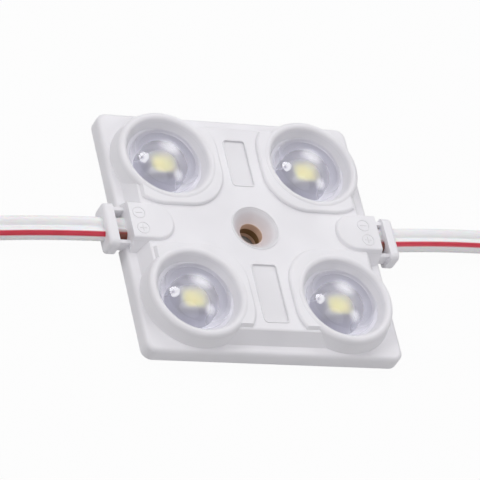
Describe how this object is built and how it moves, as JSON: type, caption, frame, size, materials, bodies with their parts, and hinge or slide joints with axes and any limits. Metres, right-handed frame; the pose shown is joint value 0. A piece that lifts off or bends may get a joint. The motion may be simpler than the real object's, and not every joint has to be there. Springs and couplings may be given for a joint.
{
  "type": "led module",
  "caption": "Square white LED module with domed clear lenses in raised cups, a countersunk screw hole, and a twin lead out of each side.",
  "frame": {"origin": "middle of the screw hole, on the surface that the module lies on", "axes": "+X along the leads, +Y towards the plain wires, +Z the way the lamps shine"},
  "size_m": [0.1307, 0.036, 0.0062],
  "materials": {
    "housing": "white ABS moulding, fine satin",
    "lens": "clear acrylic, polished",
    "circuit_board": "tan glass-epoxy board",
    "led_package": "white moulded package",
    "led_phosphor": "yellow phosphor in silicone",
    "led_terminal": "silver-plated copper alloy",
    "resistor": "black film on ceramic",
    "lead": "white PVC insulation, one wire with a red stripe",
    "conductor": "bare copper strand",
    "solder": "tin solder",
    "adhesive_tape": "white double-sided foam tape",
    "release_liner": "waxed paper, pale yellow"
  },
  "bodies": {
    "root": {"housing": "housing", "circuit_board": "circuit_board", "adhesive_tape": "adhesive_tape", "release_liner": "release_liner", "lens_1": "lens", "led_package_1": "led_package", "led_phosphor_1": "led_phosphor", "led_anode_1": "led_terminal", "led_cathode_1": "led_terminal", "lens_2": "lens", "led_package_2": "led_package", "led_phosphor_2": "led_phosphor", "led_anode_2": "led_terminal", "led_cathode_2": "led_terminal", "lens_3": "lens", "led_package_3": "led_package", "led_phosphor_3": "led_phosphor", "led_anode_3": "led_terminal", "led_cathode_3": "led_terminal", "lens_4": "lens", "led_package_4": "led_package", "led_phosphor_4": "led_phosphor", "led_anode_4": "led_terminal", "led_cathode_4": "led_terminal", "resistor_1": "resistor", "resistor_2": "resistor", "lead_left": "lead", "conductor_left_minus": "conductor", "solder_left_minus": "solder", "conductor_left_plus": "conductor", "solder_left_plus": "solder", "lead_right": "lead", "conductor_right_minus": "conductor", "solder_right_minus": "solder", "conductor_right_plus": "conductor", "solder_right_plus": "solder"}
  },
  "joints": []
}
